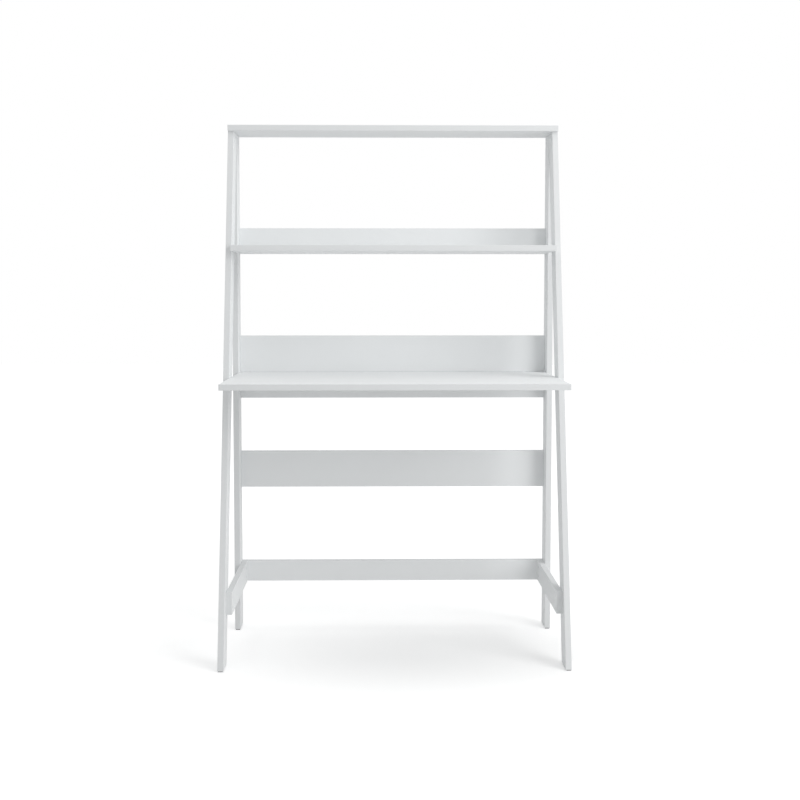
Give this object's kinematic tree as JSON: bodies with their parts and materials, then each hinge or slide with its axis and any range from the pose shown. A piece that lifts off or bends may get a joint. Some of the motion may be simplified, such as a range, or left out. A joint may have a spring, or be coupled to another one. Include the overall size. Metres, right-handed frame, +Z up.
{
  "type": "ladder desk",
  "caption": "Ladder desk: two A-shaped side frames with raked front legs carry a deep desktop, a middle shelf and a shallow top shelf, with rails and panels across the back.",
  "frame": {"origin": "on the floor under the middle of the footprint: midway between the outer faces of the legs, and midway between the desktop's front edge and the plane of the rear legs' back edges", "axes": "+Z up, +Y towards the back of the desk, +X towards the right as seen from the front"},
  "size_m": [0.922, 0.45, 1.45],
  "materials": {
    "painted_board": "satin paint",
    "white_plastic": "satin",
    "zinc_steel": "zinc plated",
    "beech": "bare",
    "pad_rubber": "matte"
  },
  "bodies": {
    "root": {"back_panel_dowels": "beech", "barrel_nuts": "zinc_steel", "bolt_cover_plugs": "white_plastic", "bottom_crossbar": "painted_board", "cam_caps": "white_plastic", "desktop": "painted_board", "desktop_back_panel": "painted_board", "desktop_cam_bolts": "zinc_steel", "desktop_cam_locks": "zinc_steel", "desktop_end_dowels": "beech", "foot_pad_front_left": "pad_rubber", "foot_pad_front_right": "pad_rubber", "foot_pad_rear_left": "pad_rubber", "foot_pad_rear_right": "pad_rubber", "front_leg_left": "painted_board", "front_leg_right": "painted_board", "middle_rail_dowels": "beech", "middle_shelf": "painted_board", "middle_shelf_back_rail": "painted_board", "middle_shelf_cam_bolts": "zinc_steel", "middle_shelf_cam_locks": "zinc_steel", "middle_shelf_end_dowels": "beech", "modesty_panel": "painted_board", "rail_bolts": "zinc_steel", "rail_end_dowels": "beech", "rear_leg_left": "painted_board", "rear_leg_right": "painted_board", "side_rail_left": "painted_board", "side_rail_right": "painted_board", "side_rail_screws": "zinc_steel", "top_shelf": "painted_board", "top_shelf_cam_bolts": "zinc_steel", "top_shelf_cam_locks": "zinc_steel", "top_shelf_dowels": "beech", "under_desk_rail": "painted_board", "under_desk_rail_dowels": "beech"}
  },
  "joints": []
}
